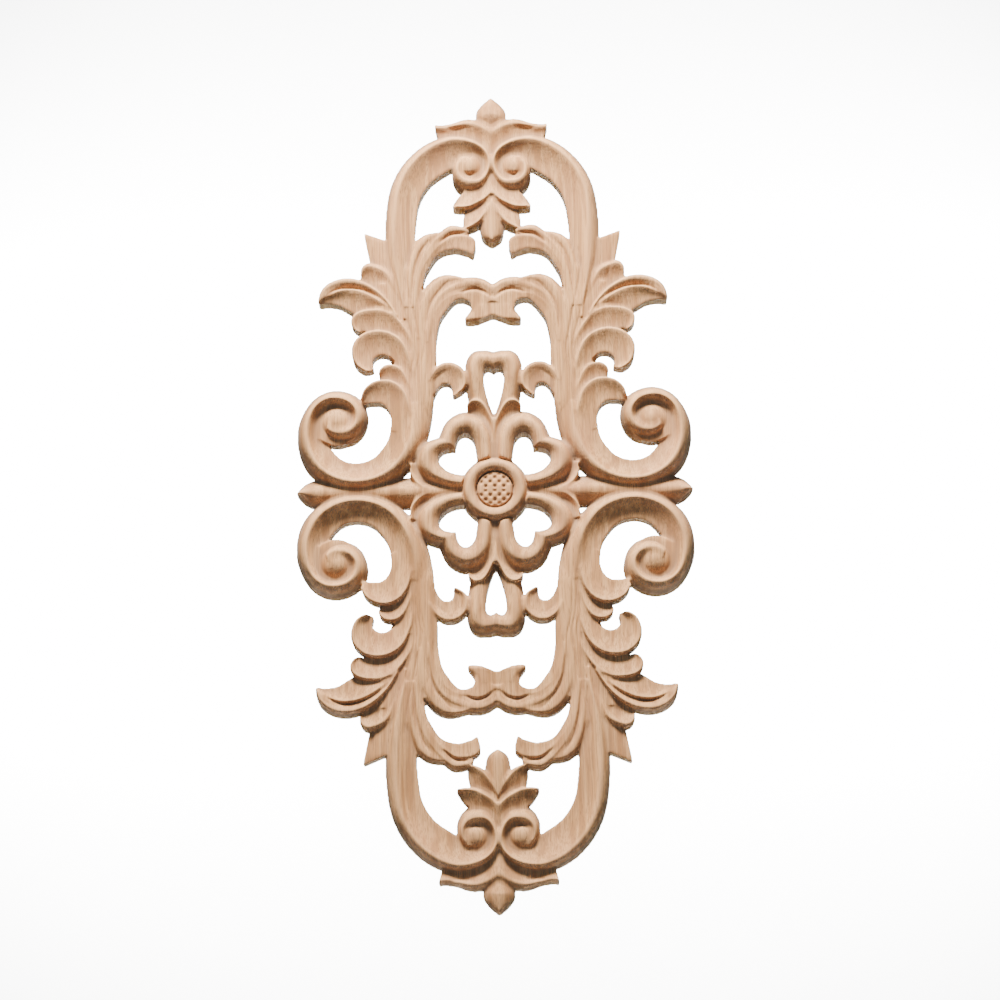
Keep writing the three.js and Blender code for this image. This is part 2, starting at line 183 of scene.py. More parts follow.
strip(
    "leaf_f",
    rim=[(38.6, 44, 90), (41.5, 56, 70), (49.5, 63, 0), (55, 58.5, -92)],
    foot=[(42, 42, 88), (45, 50, 60), (50, 54.5, 10), (54.8, 56.4, 10)],
    edge=[8.6, 9, 9, 9], crest=[8.8, 9.8, 9.8, 9.8], at=0.08, low=[8.6, 8.1, 7.9, 7.9], form=HOLLOW,
)
strip(
    "leaf_g",
    rim=[(38.7, 28, 94), (40.5, 44, 78), (52.5, 55.1, 0), (63.4, 46.6, -82)],
    foot=[(48.9, 30, 90), (50, 39.5, 70), (56.5, 44.4, 0), (62.1, 43.7, -15)],
    edge=[8.4, 9.8, 10, 10], crest=[8.8, 10.6, 10.8, 10.8], at=0.06, low=[8.4, 8.4, 8.3, 8.3],
    form=HOLLOW,
)
strip(
    "hook_a",
    rim=[(42.5, 92, 92), (41.6, 110, 96), (38, 124.2, 115), (33, 128.8, 152), (25.5, 130.2, 172)],
    foot=[(40.5, 92, 94), (37.8, 106, 98), (32.4, 119.4, 118), (28.6, 124.6, 135), (24.6, 127.8, 150)],
    edge=7.8, crest=9.8, at=0.35, low=8.8, form=ROUND,
)
strip(
    "hook_b",
    rim=[
        (40, 92, 94), (37.8, 108, 100), (31, 123.5, 130), (25.8, 129.8, 145), (19.3, 133.7, 180),
        (11.8, 130.8, 218),
    ],
    foot=[
        (38, 92, 96), (35.3, 108, 105), (29.5, 120.2, 128), (25.3, 124.6, 142), (18.5, 128.6, 178),
        (11.5, 128.4, 195),
    ],
    edge=[9.2, 9.2, 9, 8.6, 7.8, 7.8], crest=[10, 10, 10, 10.2, 10.2, 10.2], at=0.4,
    low=[9.9, 9.9, 9.7, 9, 8.8, 8.8], form=ROUND,
)
strip(
    "hook_c",
    rim=[
        (38, 90, 97), (35.3, 108, 105), (29, 120, 128), (25, 124.2, 142), (17.5, 128.3, 180),
        (8.2, 124, -92), (9.3, 118.8, -78),
    ],
    foot=[
        (35.2, 92, 92), (33.4, 107, 102), (30, 114.2, 120), (26, 119.2, 145), (18.5, 121.5, 178),
        (12, 120, 195), (9.6, 118.4, 205),
    ],
    edge=[9.9, 9.9, 9.7, 9.4, 9.4, 9.4, 9.4], crest=[9.9, 9.9, 10, 10.1, 10.1, 10.1, 10.1], at=0.08,
    low=[8.8, 9.2, 9.2, 9.3, 9.4, 9.4, 9.4], form=HOLLOW,
)
strip(
    "curl_a",
    rim=[(38.3, 76, 92), (36.8, 92, 100), (32.6, 102, 124), (22.5, 108.3, 178), (13.5, 106.4, 198)],
    foot=[(33.2, 76, 92), (31, 88, 98), (28, 95.6, 115), (21.4, 103.4, 145), (13.5, 105, 170)],
    edge=7.8, crest=9.8, at=0.4, low=9, form=ROUND,
)
strip(
    "curl_b",
    rim=[
        (33, 74, 91), (31.3, 88, 98), (28.2, 96, 115), (18, 105.2, 155), (8.8, 106.9, 182),
        (-0.5, 102.2, 228),
    ],
    foot=[
        (31, 74, 91), (29, 88, 100), (25.5, 94.5, 125), (16, 99, 165), (9, 100.9, 182),
        (-0.5, 95.5, 235),
    ],
    edge=[9.2, 9.2, 8.8, 8.2, 7.8, 7.8], crest=9.9, at=0.4, low=[9.6, 9.6, 9.4, 8.7, 8.6, 8.6],
    form=ROUND,
)
strip(
    "curl_c",
    rim=[
        (31.5, 72, 90), (29, 87, 102), (25, 94, 128), (16, 98.8, 168), (7, 100.6, 190), (-0.5, 95, 238),
    ],
    foot=[
        (27.8, 72, 90), (26.4, 83, 102), (23.3, 89.6, 128), (16, 96.1, 180), (10.3, 92.4, -90),
        (10.1, 90.8, -88),
    ],
    edge=[8.8, 9.5, 9.3, 9, 9, 9], crest=[9.2, 9.7, 9.7, 9.7, 9.7, 9.7], at=0.08,
    low=[8.4, 9, 9.2, 9.2, 9.2, 9.2], form=HOLLOW,
)
strip(
    "curl_end",
    rim=[(11.5, 97.5, -115), (10.1, 92, -88), (13.2, 86.2, -52), (7.6, 84.9, 172)],
    foot=[(-0.5, 97, -90), (-0.5, 92, -90), (-0.5, 89.6, -88), (-0.2, 88.2, -80)],
    edge=8.4, crest=[8.7, 9.5, 9.6, 9.6], at=0.3, low=[8.7, 9, 9, 9], form=ROUND,
)
strip(
    "small_leaf",
    rim=[(31, 56, 112), (27.5, 61.4, 140), (22, 63.6, 180), (13, 55, -92), (19.2, 47.5, -15)],
    foot=[(29.6, 44, 92), (27, 51.4, 118), (23.3, 53.9, 180), (19.9, 51.2, -95), (19.7, 48, -80)],
    edge=8.8, crest=9.8, at=0.12, low=7.8, form=HOLLOW,
)
strip(
    "upper_loop",
    rim=[(-0.4, 68.4, 40), (6.8, 69.8, 0), (13.5, 60, -92), (10.4, 40, -112), (3, 27, -116)],
    foot=[(-0.4, 59.3, 50), (2.8, 61, -5), (5.1, 55.3, -92), (3.2, 45, -106), (-0.4, 35.6, -112)],
    edge=[7, 7, 7, 6.5, 5], crest=[11.2, 11.2, 11.2, 9.2, 6.5], at=0.5, low=[9.6, 9.6, 9.4, 8, 5],
    form=ROUND,
)
strip(
    "sepal_long",
    rim=[(-0.4, 11, 90), (-0.2, 32, 84), (2.6, 39, 66), (8.7, 45.0, 0), (12.8, 41, -85)],
    foot=[(3, 11, 90), (4, 28, 72), (5.4, 33, 62), (10, 37.6, 45), (12.3, 39.5, 40)],
    edge=[9.4, 10, 10, 10, 10], crest=[9.6, 10.8, 10.8, 10.8, 10.8], at=0.12, low=[9, 8.2, 7.6, 7.6, 8],
    form=HOLLOW,
)
strip(
    "sepal_cross",
    rim=[(22, -0.4, 0), (33.5, 1.6, 22), (39.8, 7.6, 70), (39.8, 13.5, 95)],
    foot=[(22, 2.5, 10), (31, 4.5, 30), (36.5, 10, 65), (37.6, 14, 95)],
    edge=8.8, crest=9.4, at=0.1, low=7, form=HOLLOW,
)
strip(
    "petal_a",
    rim=[(-0.4, 14, 90), (0.2, 26, 82), (13.4, 39.1, 0), (23.2, 33.8, -52), (26.4, 27, -62)],
    foot=[(8.2, 14, 100), (8.8, 21, 86), (14.3, 28.2, 0), (18, 25, -70), (18.8, 21, -88)],
    edge=6.5, crest=12, at=0.52, low=9.8, form=ROUND,
)
strip(
    "petal_b",
    rim=[(25.5, 26.8, -14), (35, 22.5, -42), (38, 14.5, -90), (29, 3.2, 205), (12, -0.4, 182)],
    foot=[(18.8, 20.6, 8), (24.5, 19.8, -25), (27, 15.8, -90), (22, 8.8, 208), (12.5, 7, 182)],
    edge=6.5, crest=12, at=0.52, low=9.8, form=ROUND,
)
strip(
    "crown_tip",
    rim=[(0.2, 184, 50), (7.3, 190.6, 92), (0.2, 200, 140)],
    foot=[(-0.4, 184, 90), (-0.4, 191, 90), (-0.4, 200, 90)],
    edge=[8, 7.6, 7.6], crest=[8.4, 10.5, 9.4], at=0.97, low=[8.4, 10.5, 9.4], form=STRAIGHT,
)
strip(
    "crown_side",
    rim=[(-0.4, 185.4, 30), (10.5, 189, 4), (20, 186.7, -14), (27.6, 186.3, 8)],
    foot=[(-0.4, 169, 60), (11, 179.4, 16), (20, 180.6, -4), (26, 179.8, -10)],
    edge=7.8, crest=9.9, at=0.3, low=[8.4, 7.9, 7.9, 8.4], form=HOLLOW,
)
strip(
    "tassel_a",
    rim=[(-0.4, 150.4, -60), (6, 144.6, -30), (12, 142.2, -6), (18.7, 142.7, 5)],
    foot=[(-0.4, 162.5, -60), (8, 154, -15), (14, 150.4, -40), (18.9, 143.8, -60)],
    edge=9.6, crest=10.6, at=0.1, low=[8.8, 8.2, 8, 8], form=HOLLOW,
)
strip(
    "tassel_b",
    rim=[(-0.4, 146.5, -68), (3.4, 138.2, -56), (8, 133.1, -28), (12.8, 131.6, -5)],
    foot=[(-0.4, 152, -68), (7, 146, -40), (12.6, 141.6, -70), (13.7, 133.2, -94)],
    edge=9.8, crest=10.8, at=0.1, low=8.2, form=HOLLOW,
)
strip(
    "tassel_c",
    rim=[(0.2, 147.5, -58), (5.7, 134, -90), (5, 129, -104), (0.2, 124.4, -155)],
    foot=[(-0.4, 147.5, -90), (-0.4, 135, -90), (-0.4, 130, -90), (-0.4, 124.4, -90)],
    edge=8.2, crest=11, at=0.97, low=11, form=ROUND,
)
strip(
    "bar",
    rim=[(10, 5, 0), (42, 7.2, 0), (80, 7.2, -2), (88, 5.8, -20), (94.4, 0.2, -55)],
    foot=[(10, -0.4, 0), (42, -0.4, 0), (80, -0.4, 0), (88, -0.4, 0), (94.4, -0.4, 0)],
    edge=5, crest=9.4, at=0.97, low=9.4, form=ROUND,
)
print("strips in a quarter:", len(strips))

# %% [markdown]
# ## Grooves
# The finishing cuts are made with a small gouge once the forms stand: veins along the stem, the dark
# line between two lobes, the rib of a leaf. A groove is a smooth line through a few points, with a
# depth and a half width. It is laid over the finished heights, because a gouge crosses several forms.

# %% Groove lines of a quarter: points, depth and half width in mm
grooves = {
    "vein_outer": ([(40.5, 44), (39.3, 60), (38, 70), (41.5, 85), (45.5, 98)], 0.6, 0.5),
    "vein_middle": ([(38.2, 40), (37.4, 58), (35.4, 70), (37.8, 85), (41.3, 102), (43.5, 116)], 0.8, 0.55),
    "vein_inner": ([(36.5, 36), (35.8, 58), (33.2, 72), (33.4, 86)], 0.6, 0.5),
    "vein_edge": ([(33.5, 42), (32.2, 58), (30.6, 70)], 0.4, 0.5),
    "vein_band": ([(44, 100), (46.5, 116), (47.5, 130)], 0.4, 0.6),
    "hook_long": ([(31, 125.2), (35.2, 119), (38, 109), (38.8, 102), (39.6, 92)], 0.9, 0.65),
    "hook_short": ([(13.6, 129.2), (20, 128.6), (25.4, 124.6)], 1.0, 0.65),
    "curl_long": ([(22, 104.2), (28.5, 96.4), (31.2, 89), (32.3, 80)], 0.8, 0.65),
    "curl_short": ([(1.5, 96.8), (5, 99.6), (10, 100.6), (15.5, 98.6)], 1.1, 0.75),
    "leaf_rib": ([(51, 93.4), (58, 98.4), (66, 101.6), (75, 101.2), (83.6, 95.8)], 1.0, 0.7),
    "crown_rib": ([(12, 184.6), (18, 184), (25.6, 185.6)], 0.6, 1.0),
    "leaf_a_rib": ([(55.5, 104), (57.4, 114), (58.4, 123)], 0.5, 0.8),
    "small_pit": ([(8.4, 160.8), (10.8, 159.6), (13.2, 160.6)], 0.7, 0.8),
    "small_rib": ([(29.4, 50), (27.5, 56), (23, 59.6)], 0.4, 0.8),
}
print("grooves in a quarter:", len(grooves))

# %% [markdown]
# ## From lines to heights
# The board is worked out as one sheet of heights over the quarter, as a map shows hills. Every strip
# is a function of two parameters, along and across. Its points are sampled far closer than a cell of
# the map and the highest strip wins in each cell, as the last form left standing does on the bench.

# %% The curve between knots
CELL = 0.35
SPARE = 2
WIDE, TALL = (int(np.ceil((cad_box[1][axis] / MM + SPARE) / CELL)) for axis in (0, 2))


def line_through(knots, count):
    """Cubic arcs between knots. The handles are the length that suits an arc of the same turn:
    the chord over three times the squared cosine of a quarter of the turn."""
    pieces = []
    for (x0, z0, a0), (x1, z1, a1) in zip(knots, knots[1:]):
        start, end = np.array([x0, z0], float), np.array([x1, z1], float)
        a0, a1 = np.radians(a0), np.radians(a1)
        turn = (a1 - a0 + np.pi) % (2 * np.pi) - np.pi
        handle = np.hypot(*(end - start)) / (3 * np.cos(turn / 4) ** 2)
        near = start + handle * np.array([np.cos(a0), np.sin(a0)])
        far = end - handle * np.array([np.cos(a1), np.sin(a1)])
        t = np.linspace(0, 1, count + 1)[:, None]
        curve = (1 - t) ** 3 * start + 3 * t * (1 - t) ** 2 * near + 3 * t * t * (1 - t) * far + t**3 * end
        pieces.append(curve if not pieces else curve[1:])
    return np.concatenate(pieces)


print("rim of the stalk starts at", line_through(strips["stalk"]["rim"], 4)[0].tolist())

# %% The surface of a strip


def strip_surface(s, count, across):
    """Points (x, z) and heights on a grid, count rows a segment and across columns. A point is the
    rim times one minus v plus the foot times v. Up to the crest the height is a sine from the edge;
    past it, the fall is a cosine for a round, and what is left to the foot for the other two, as it
    is for straight and squared for hollow."""
    rim, foot = line_through(s["rim"], count), line_through(s["foot"], count)
    v = np.linspace(0, 1, across)[None, :]
    points = rim[:, None] * (1 - v[..., None]) + foot[:, None] * v[..., None]
    u = np.linspace(0, len(s["rim"]) - 1, len(rim))
    edge, crest, at, low = (
        np.interp(u, np.arange(len(s["rim"])), np.broadcast_to(s[key], len(s["rim"])))[:, None]
        for key in ("edge", "crest", "at", "low")
    )
    rise = edge + (crest - edge) * np.sin(np.pi / 2 * np.clip(v / at, 0, 1))
    t = np.clip((v - at) / (1 - at), 0, 1)
    fall = low + (crest - low) * (np.cos(np.pi / 2 * t) if s["form"] == ROUND else (1 - t) ** s["form"])
    return points, np.where(v <= at, rise, fall)


def stamp(points, heights):
    """The mean height of the samples in each cell, and 0 where a cell has none."""
    column = np.floor(points[..., 0] / CELL).astype(int)
    row = np.floor(points[..., 1] / CELL).astype(int)
    inside = (column >= 0) & (column < WIDE) & (row >= 0) & (row < TALL)
    cell = (row * WIDE + column)[inside]
    count = np.bincount(cell, minlength=TALL * WIDE)
    total = np.bincount(cell, weights=heights[inside], minlength=TALL * WIDE)
    return (total / np.maximum(count, 1)).reshape(TALL, WIDE)


SAMPLES_A_CELL = 3
LONGEST_OVER_MEAN = 1.6

height = np.zeros((TALL, WIDE))
for s in strips.values():
    chords = [line_through(s[key], 8) for key in ("rim", "foot")]
    segment = max(np.hypot(*np.diff(c, axis=0).T).sum() for c in chords) / (len(s["rim"]) - 1)
    widest = np.hypot(*(chords[0] - chords[1]).T).max()
    along = int(segment * LONGEST_OVER_MEAN / CELL * SAMPLES_A_CELL) + 2
    across = int(widest / CELL * SAMPLES_A_CELL) + 2
    height = np.maximum(height, stamp(*strip_surface(s, along, across)))
print("cells with wood in a quarter:", int((height > 0).sum()))

# %% [markdown]
# ## Rosette ring, boss and eyes
# The ring and boss were cut with a gouge round one centre, so their height depends on the distance
# from it alone. The boss is punched with small pits in staggered rows. The eye in each volute is a
# low button that stands in the hollow of its scroll.

# %% Round forms
x = (np.arange(WIDE) + 0.5) * CELL
z = (np.arange(TALL) + 0.5) * CELL
X, Z = np.meshgrid(x, z)


def button(centre_x, centre_z, radius, floor, top, floor_radius):
    """A dome on a flat floor. With q the share of the radius, the height over the floor is the whole
    rise times one minus q squared, to a power a little over one, which eases the foot."""
    q = np.hypot(X - centre_x, Z - centre_z) / radius
    dome = np.where(q < 1, floor + (top - floor) * np.clip(1 - q**2, 0, 1) ** 1.1, 0)
    return np.maximum(dome, np.where(q * radius < floor_radius, floor, 0))


# centre x and z, radius, floor, top and the radius of the floor, in mm
eyes = {
    "scroll_eye": (75.4, 34.6, 7.4, 8.4, 11.3, 11.5),
    "arch_eye": (10.8, 164.2, 6.2, 7.9, 10.4, 8.0),
}
for eye in eyes.values():
    height = np.maximum(height, button(*eye))
print("eyes in a quarter:", len(eyes))

# %% Pits and slits too small to carve


def shifted(field, reach, axis):
    """The field moved along an axis by each whole number of cells, from minus reach to reach."""
    padding = [(reach, reach) if a == axis else (0, 0) for a in (0, 1)]
    padded = np.pad(field, padding, mode="edge")
    span = field.shape[axis]
    return [np.take(padded, range(i, i + span), axis) for i in range(2 * reach + 1)]


def closed(field, reach):
    """Pits narrower than the window filled: the highest of the neighbours, then the lowest of those."""
    for pick in (np.maximum, np.minimum):
        for axis in (0, 1):
            field = pick.reduce(shifted(field, reach, axis))
    return field


IN_WOOD = 2
IN_AIR = 1
height = np.where(height > 0, closed(height, IN_WOOD), closed(height, IN_AIR))
print("cells with wood once the slits are closed:", int((height > 0).sum()))

# %% The rosette's ring and boss
# Radii and heights above the back, in mm.
HUB = 15.6
RING_CREST = 12.4
RING_HALF = 3.2
GROOVE_RADIUS = 9.1
BOSS = 8.5
RING_TOP = 13
BOSS_TOP = 11.9
GROOVE_LEVEL = 9.4
REST_RADIUS = 16.3
REST_LEVEL = 8.6
PITCH = 4.3
PIT_DEPTH = 0.9


def rosette_hub(r):
    """A ring rounded on both sides of its crest, a groove, and a boss a little domed. The boss is
    punched where the product of two cosines, one along x and one along z, is high."""
    outer = np.clip((r - RING_CREST) / RING_HALF, 0, 1)
    inner = np.clip((RING_CREST - r) / RING_HALF, 0, 1)
    ring = np.where(r > GROOVE_RADIUS, RING_TOP - 3.6 * outer**2 - 1.6 * inner**2, GROOVE_LEVEL)
    waves = np.cos(2 * np.pi * X / PITCH) * np.cos(2 * np.pi * (Z - PITCH / 4) / PITCH)
    cut = PIT_DEPTH * np.clip(waves + 0.25, 0, 1) ** 1.5 * np.clip((8.0 - r) / 0.7, 0, 1)
    return np.where(r < BOSS, BOSS_TOP - 0.9 * (r / BOSS) ** 2 - cut, ring)


r = np.hypot(X, Z)
around = np.maximum(height, np.where(r < REST_RADIUS, REST_LEVEL, 0))
height = np.where(r < HUB, rosette_hub(r), around)
print("height at the boss and at the ring, mm:", round(height[0, 0], 2), round(height[0, int(12 / CELL)], 2))

# %% The grooves cut into the forms


def smooth_line(points, count=24):
    """A line that passes through every point, each stretch a cubic that heads along its neighbours."""
    p = np.array(points, float)
    p = np.vstack([2 * p[0] - p[1], p, 2 * p[-1] - p[-2]])
    t = np.linspace(0, 1, count)[:, None]
    stretches = [
        b + (c - a) * t / 2 + (a - 2.5 * b + 2 * c - d / 2) * t**2 + (1.5 * (b - c) + (d - a) / 2) * t**3
        for a, b, c, d in zip(p, p[1:], p[2:], p[3:])
    ]
    return np.concatenate(stretches)


def groove_depth(points, depth, half_width):
    """How deep the gouge goes at each cell: a bell over the distance from the line, which fades
    towards both ends of the line."""
    line = smooth_line(points)
    (left, low), (right, high) = line.min(0) - 3 * half_width, line.max(0) + 3 * half_width
    rows = slice(max(int(low / CELL), 0), int(high / CELL) + 2)
    columns = slice(max(int(left / CELL), 0), int(right / CELL) + 2)
    away = np.hypot(X[rows, columns, None] - line[:, 0], Z[rows, columns, None] - line[:, 1])
    fade = np.sin(np.pi * np.clip(np.argmin(away, -1) / len(line), 0.02, 0.98)) ** 0.5
    field = np.zeros_like(X)
    field[rows, columns] = depth * fade * np.exp(-((away.min(-1) / half_width) ** 2))
    return field


cuts = np.maximum.reduce([groove_depth(*g) for g in grooves.values()])
height = np.where(height > 0, height - cuts, 0)
print("deepest groove, mm:", round(cuts.max(), 2))

# %% [markdown]
# ## Four quarters and softened edges
# The quarter is turned over to make the whole board. Sandpaper then takes the sharpness off, so the
# heights are softened over a quarter of a millimetre, and a narrow arris is taken off every outline.

# %% The whole board


def whole(field):
    """A quarter mirrored across both middle lines."""
    half = np.concatenate([field[::-1], field])
    return np.concatenate([half[:, ::-1], half], axis=1)


def soften(field, reach):
    """Each value becomes the bell weighted mean of its neighbours, first along z, then along x."""
    span = int(3 * reach / CELL) + 1
    weights = np.exp(-0.5 * (np.arange(-span, span + 1) * CELL / reach) ** 2)
    weights /= weights.sum()
    for axis in (0, 1):
        field = sum(weight * moved for weight, moved in zip(weights, shifted(field, span, axis)))
    return field


SANDED = 0.26
ARRIS = 0.4
board = whole(height)
wood = (board > 0).astype(float)
outline = soften(wood, CELL)


def soft_height(reach):
    """The heights softened inside the wood alone, so the air outside doesn't pull an edge down."""
    return soften(board * wood, reach) / np.maximum(soften(wood, reach), 1e-6)


arris = ARRIS * (1 - np.clip((outline - 0.5) / 0.42, 0, 1)) ** 2
relief = np.where(outline > 0.05, soft_height(SANDED) - arris, 0)
print("board in cells:", relief.shape)

# %% Where painted shade and painted highlight go, and where the tool left its marks
# hollow: lower than the mean around, for painted shade. under: faces down. crest: higher than
# the mean around and not facing down, for wear and a painted highlight.
HOLLOW_REACH = 2.2
CREST_REACH = 1.5
SLOPE_REACH = 0.8
hollow = np.clip((soft_height(HOLLOW_REACH) - relief) / 1.6 + 0.1, 0, 1)
fall_z, fall_x = np.gradient(soft_height(SLOPE_REACH), CELL)
under = np.clip(fall_z / np.sqrt(1 + fall_x**2 + fall_z**2) * 1.7 - 0.2, 0, 1)
# Faces down outside the hollows: ripples of the tool, and a darker colour that is partly painted shade.
chatter_and_shade = under * np.clip(1 - 2.5 * hollow, 0, 1)
crest = np.clip((relief - soft_height(CREST_REACH) - 0.1) / 0.5, 0, 1) * (1 - under)
print("share of wood that is hollow:", round(float((hollow[wood > 0] > 0.4).mean()), 3))

# %% [markdown]
# ## The mesh
# The face is the sheet of heights, one quad a cell where there is wood. The corners on the outline
# are slid onto its smooth line, walls go straight down to the back, and the flat back is filled in.
# The plain grid has over 600,000 triangles, so the Decimate modifier thins it where it is flat.

# %% The face and the walls
LEVEL = 0.55
GENTLEST_SLOPE = 0.05
LONGEST_SLIDE = 1.2 * CELL
rows, columns = relief.shape
board_x = (np.arange(columns) - columns / 2 + 0.5) * CELL
board_z = (np.arange(rows) - rows / 2 + 0.5) * CELL
full = outline > LEVEL
quad_kept = full[:-1, :-1] & full[1:, :-1] & full[:-1, 1:] & full[1:, 1:]


def close_pinches(kept):
    """Where two kept quads touch only at a corner, the quad beside them is kept too."""
    a, b, c, d = kept[:-1, :-1], kept[:-1, 1:], kept[1:, :-1], kept[1:, 1:]
    falling, rising = a & d & ~b & ~c, b & c & ~a & ~d
    kept[:-1, 1:] |= falling
    kept[:-1, :-1] |= rising
    return int(falling.sum() + rising.sum())


while close_pinches(quad_kept):
    pass
number = np.arange(rows * columns).reshape(rows, columns)
corners = [number[:-1, :-1], number[:-1, 1:], number[1:, 1:], number[1:, :-1]]
quads = np.stack([c[quad_kept] for c in corners], axis=1)
print("quads on the face:", len(quads))

# %% Outline edges


def open_edges(faces):
    """Directed edges that belong to one face alone. An edge has one number whichever way it runs: its
    lower point times a large count, plus its higher point."""
    edges = np.stack([faces.ravel(), np.roll(faces, -1, 1).ravel()], 1)
    key = edges.min(1).astype(np.int64) * (4 * rows * columns) + edges.max(1)
    _, first, count = np.unique(key, return_index=True, return_counts=True)
    return edges[first[count == 1]]


rim_edges = open_edges(quads)
rim_points = np.unique(rim_edges)
slope_z, slope_x = np.gradient(outline, CELL)
steepness = np.maximum(np.hypot(slope_x, slope_z), GENTLEST_SLOPE)
push = np.clip((LEVEL - outline) / steepness, -LONGEST_SLIDE, LONGEST_SLIDE) / steepness
grid_x, grid_z = np.meshgrid(board_x, board_z)
flat_x, flat_z = grid_x.ravel().copy(), grid_z.ravel().copy()
flat_x[rim_points] += (push * slope_x).ravel()[rim_points]
flat_z[rim_points] += (push * slope_z).ravel()[rim_points]
print("points on the outline:", len(rim_points))


def at(field, px, pz):
    """A field of the board read between its cells, straight in both directions."""
    c = np.clip((px - board_x[0]) / CELL, 0, columns - 1.001)
    r = np.clip((pz - board_z[0]) / CELL, 0, rows - 1.001)
    c0, r0 = c.astype(int), r.astype(int)
    fc, fr = c - c0, r - r0
    lower = field[r0, c0] * (1 - fc) + field[r0, c0 + 1] * fc
    upper = field[r0 + 1, c0] * (1 - fc) + field[r0 + 1, c0 + 1] * fc
    return lower * (1 - fr) + upper * fr


# %% Face and walls as one open shell
used = np.unique(quads)
renumber = np.full(rows * columns, -1)
renumber[used] = np.arange(len(used))
face_xyz = np.stack([flat_x[used], -at(relief, flat_x[used], flat_z[used]), flat_z[used]], 1)
under_rim = np.full(rows * columns, -1)
under_rim[rim_points] = len(used) + np.arange(len(rim_points))
back_xyz = face_xyz[renumber[rim_points]] * [1, 0, 1]
head, tail = rim_edges[:, 0], rim_edges[:, 1]
walls = np.stack([renumber[tail], renumber[head], under_rim[head], under_rim[tail]], 1)


def new_mesh(name, points, faces):
    """A mesh from arrays of points in mm and of faces, with every face pointing as it is listed."""
    mesh = bpy.data.meshes.new(name)
    mesh.from_pydata((points * MM).tolist(), [], faces.tolist())
    mesh.update()
    return mesh


shell = new_mesh("shell", np.concatenate([face_xyz, back_xyz]), np.concatenate([renumber[quads], walls]))
blank = bpy.data.objects.new("blank", shell)
bpy.context.scene.collection.objects.link(blank)
print("faces in the open shell:", len(shell.polygons))

# %% The shell thinned
FACE_BUDGET = 172000
thin = blank.modifiers.new("thin", "DECIMATE")
thin.ratio = FACE_BUDGET / (2 * len(shell.polygons))
thin.use_collapse_triangulate = True
thinned = bpy.data.meshes.new_from_object(blank.evaluated_get(bpy.context.evaluated_depsgraph_get()))
bpy.data.objects.remove(blank)
points = np.empty(len(thinned.vertices) * 3)
thinned.vertices.foreach_get("co", points)
points = points.reshape(-1, 3) / MM
thinned.calc_loop_triangles()
triangles = np.empty(len(thinned.loop_triangles) * 3, int)
thinned.loop_triangles.foreach_get("vertices", triangles)
triangles = triangles.reshape(-1, 3)
print("triangles left on the face and the walls:", len(triangles))

# %% The back filled in
rim_edges = open_edges(triangles)
rim_points = np.unique(rim_edges)
points[rim_points, 1] = 0
points = np.clip(points, *(np.array(cad_box) / MM))
rank = np.full(len(points), -1)
rank[rim_points] = np.arange(len(rim_points))
flat = [Vector(pair) for pair in points[rim_points][:, [0, 2]].tolist()]
fill = geometry.delaunay_2d_cdt(flat, rank[rim_edges].tolist(), [], 1, 1e-6)
origin = np.array([source[0] if source else -1 for source in fill[3]])
back = origin[np.array(fill[2])]
back = rim_points[back[(back >= 0).all(1)]]
turn = np.cross(points[back[:, 1]] - points[back[:, 0]], points[back[:, 2]] - points[back[:, 0]])[:, 1]
back[turn < 0] = back[turn < 0][:, ::-1]


def edge_numbers(faces):
    """One number for each directed edge of each face: its first point times the count of points, plus
    its second."""
    return faces.astype(np.int64) * len(points) + np.roll(faces, -1, 1)


# A triangle that meets a wall along the wall's own direction lies outside the wood.
ahead, behind = edge_numbers(rim_edges).T
runs = edge_numbers(back)
middle = points[back].mean(1)
over_wood = at(outline, middle[:, 0], middle[:, 2]) > 0.5
back = back[np.isin(runs, behind).any(1) | (over_wood & ~np.isin(runs, ahead).any(1))]
triangles = np.concatenate([triangles, back])
print("triangles:", len(triangles), "of them on the back:", len(back))
print("edges left open:", len(open_edges(triangles)))

# %% The onlay as an object
SHARP = np.radians(42)
onlay_mesh = new_mesh("onlay", points, triangles)
for name, field in (("hollow", hollow), ("chatter_and_shade", chatter_and_shade), ("crest", crest)):
    values = at(field, points[:, 0], points[:, 2]) * (points[:, 1] < -0.5)
    onlay_mesh.attributes.new(name, "FLOAT", "POINT").data.foreach_set("value", values.astype(np.float32))
face_y = points[triangles][:, :, 1]
sawn = (face_y.max(1) > -0.01) & (face_y.min(1) < -1)
onlay_mesh.attributes.new("sawn", "FLOAT", "FACE").data.foreach_set("value", sawn.astype(np.float32))
onlay_mesh.polygons.foreach_set("use_smooth", np.ones(len(onlay_mesh.polygons), bool))
onlay_mesh.set_sharp_from_angle(angle=SHARP)
onlay = bpy.data.objects.new("onlay", onlay_mesh)
bpy.context.scene.collection.objects.link(onlay)
print("onlay, mm:", points.min(0).round(2).tolist(), points.max(0).round(2).tolist())

# %% [markdown]
# ## The wood
# The board is a pale pinkish brown hardwood, bare and sanded. Its grain runs along the length, with
# wide soft bands, fine fibres and short dark pores. Two node groups make these, so each can be tried
# alone: one for the bands and fibres of the grain, and one for the pores.

# %% Helpers for node groups


def new_group(name, outputs):
    """A node group that takes a place and gives the named values, and its two end nodes."""
    group = bpy.data.node_groups.new(name, "ShaderNodeTree")
    group.interface.new_socket("Place", in_out="INPUT", socket_type="NodeSocketVector")
    for label in outputs:
        group.interface.new_socket(label, in_out="OUTPUT", socket_type="NodeSocketFloat")
    return group, group.nodes.new("NodeGroupInput"), group.nodes.new("NodeGroupOutput")


def add(tree, kind, links=None, **settings):
    """A node with its settings, and its inputs set to values or linked to sockets."""
    node = tree.nodes.new(kind)
    for key, value in settings.items():
        setattr(node, key, value)
    for key, value in (links or {}).items():
        if isinstance(value, bpy.types.NodeSocket):
            tree.links.new(value, node.inputs[key])
        else:
            node.inputs[key].default_value = value
    return node


